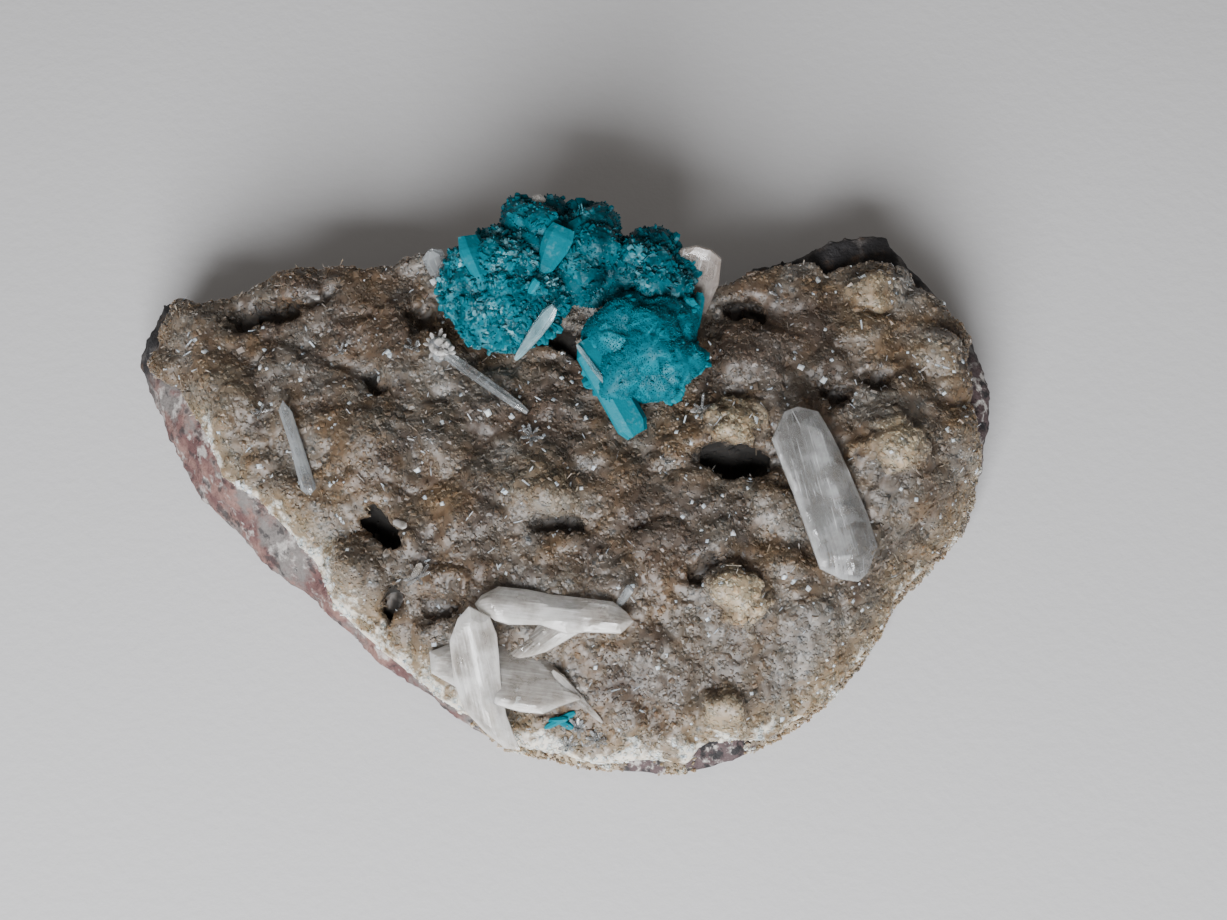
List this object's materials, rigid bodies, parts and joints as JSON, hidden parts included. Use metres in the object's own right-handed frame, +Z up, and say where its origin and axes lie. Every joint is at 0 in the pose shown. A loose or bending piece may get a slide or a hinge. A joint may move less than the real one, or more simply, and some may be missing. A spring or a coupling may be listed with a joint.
{
  "type": "cavansite mineral specimen",
  "caption": "Crust of small crystals on a basalt plate, carrying teal cavansite rosettes and pale stilbite blades.",
  "frame": {"origin": "middle of the outline seen from above, on the flat underside", "axes": "+X along the plate's length, +Y towards the edge that carries the rosettes, +Z up out of the crust"},
  "size_m": [0.088, 0.055, 0.0248],
  "materials": {
    "basalt": "matte",
    "druse": "satin",
    "cavansite": "satin",
    "stilbite": "gloss"
  },
  "bodies": {
    "root": {"basalt_matrix": "basalt", "druse_crust": "druse", "cavansite_cluster": "cavansite", "cavansite_sprig": "cavansite", "stilbite_blade_right": "stilbite", "stilbite_blade_group": "stilbite", "stilbite_fork": "stilbite", "stilbite_prism": "stilbite", "stilbite_needle_left": "stilbite", "stilbite_needle_centre": "stilbite", "stilbite_needle_cluster": "stilbite", "stilbite_blade_behind": "stilbite", "stilbite_chip_behind": "stilbite"}
  },
  "joints": []
}
